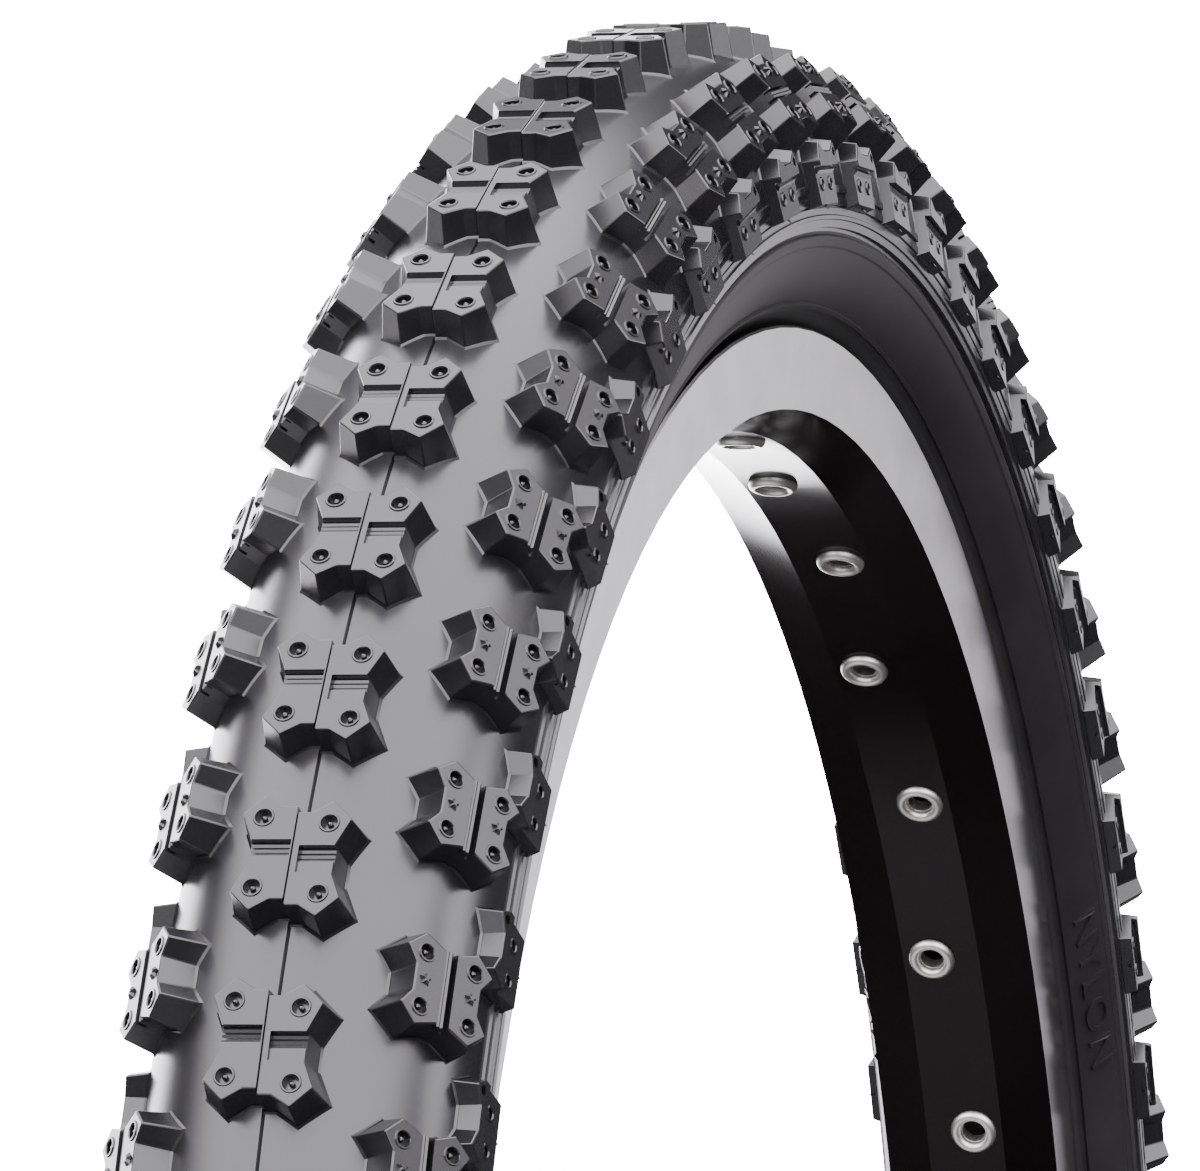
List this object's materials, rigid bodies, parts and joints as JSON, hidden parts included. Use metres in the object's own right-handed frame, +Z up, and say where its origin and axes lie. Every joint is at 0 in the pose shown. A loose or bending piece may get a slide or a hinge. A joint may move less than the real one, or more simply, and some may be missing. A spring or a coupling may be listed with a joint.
{
  "type": "bicycle tyre on rim",
  "caption": "Knobbly 20-inch bicycle tyre with blocks in five rows, mounted with its tube and valve on a hollow spoked rim with eyelets.",
  "frame": {"origin": "centre of the wheel, on the axle line midway between the rim flanges", "axes": "+Y along the axle, +Z up, the valve at the bottom"},
  "size_m": [0.5078, 0.049, 0.5078],
  "materials": {
    "tread_rubber": "satin moulded rubber",
    "side_rubber": "smooth rubber",
    "nylon_casing": "rubberised nylon",
    "bead_steel": "drawn wire",
    "rim_alloy": "machined side walls, black anodised elsewhere",
    "eyelet_steel": "nickel plated",
    "tape": "matt",
    "tube_rubber": "matt",
    "valve_brass": "nickel-free brass",
    "gasket": "smooth",
    "spring_steel": "drawn wire",
    "cap_plastic": "matt"
  },
  "bodies": {
    "wheel": {"bead_wire_left": "bead_steel", "bead_wire_right": "bead_steel", "casing_ply_inner": "nylon_casing", "casing_ply_outer": "nylon_casing", "center_knobs": "tread_rubber", "chafer_left": "side_rubber", "chafer_right": "side_rubber", "edge_knobs_left": "tread_rubber", "edge_knobs_right": "tread_rubber", "eyelets_left": "eyelet_steel", "eyelets_right": "eyelet_steel", "inner_tube": "tube_rubber", "rim": "rim_alloy", "rim_tape": "tape", "shoulder_knobs_left": "tread_rubber", "shoulder_knobs_right": "tread_rubber", "sidewall_left": "side_rubber", "sidewall_right": "side_rubber", "tread_base": "tread_rubber", "valve_core_barrel": "valve_brass", "valve_core_gasket": "gasket", "valve_core_spring": "spring_steel", "valve_jacket": "tube_rubber", "valve_stem": "valve_brass"},
    "core_pin": {"valve_core_pin": "valve_brass", "valve_core_seal": "tube_rubber"},
    "cap_carrier": {"valve_cap_seal": "tube_rubber"},
    "cap": {"valve_cap": "cap_plastic"}
  },
  "joints": [
    {"name": "core_pin_press", "type": "slide", "parent": "wheel", "child": "core_pin", "axis": [0, 0, -1], "range_m": [0, 0.0012], "stiffness_N_per_m": 1500, "springref_m": -0.0005, "deforming": ["valve_core_spring"]},
    {"name": "cap_lift", "type": "slide", "parent": "wheel", "child": "cap_carrier", "axis": [0, 0, 1], "range_m": [0, 0.00555]},
    {"name": "cap_turn", "type": "hinge", "parent": "cap_carrier", "child": "cap", "pos_m": [0, 0, -0.17], "axis": [0, 0, 1], "range_deg": [0, 2520]}
  ],
  "couplings": [
    {"joint": "cap_turn", "follows": "cap_lift", "rad_per_m": 7915.8}
  ]
}
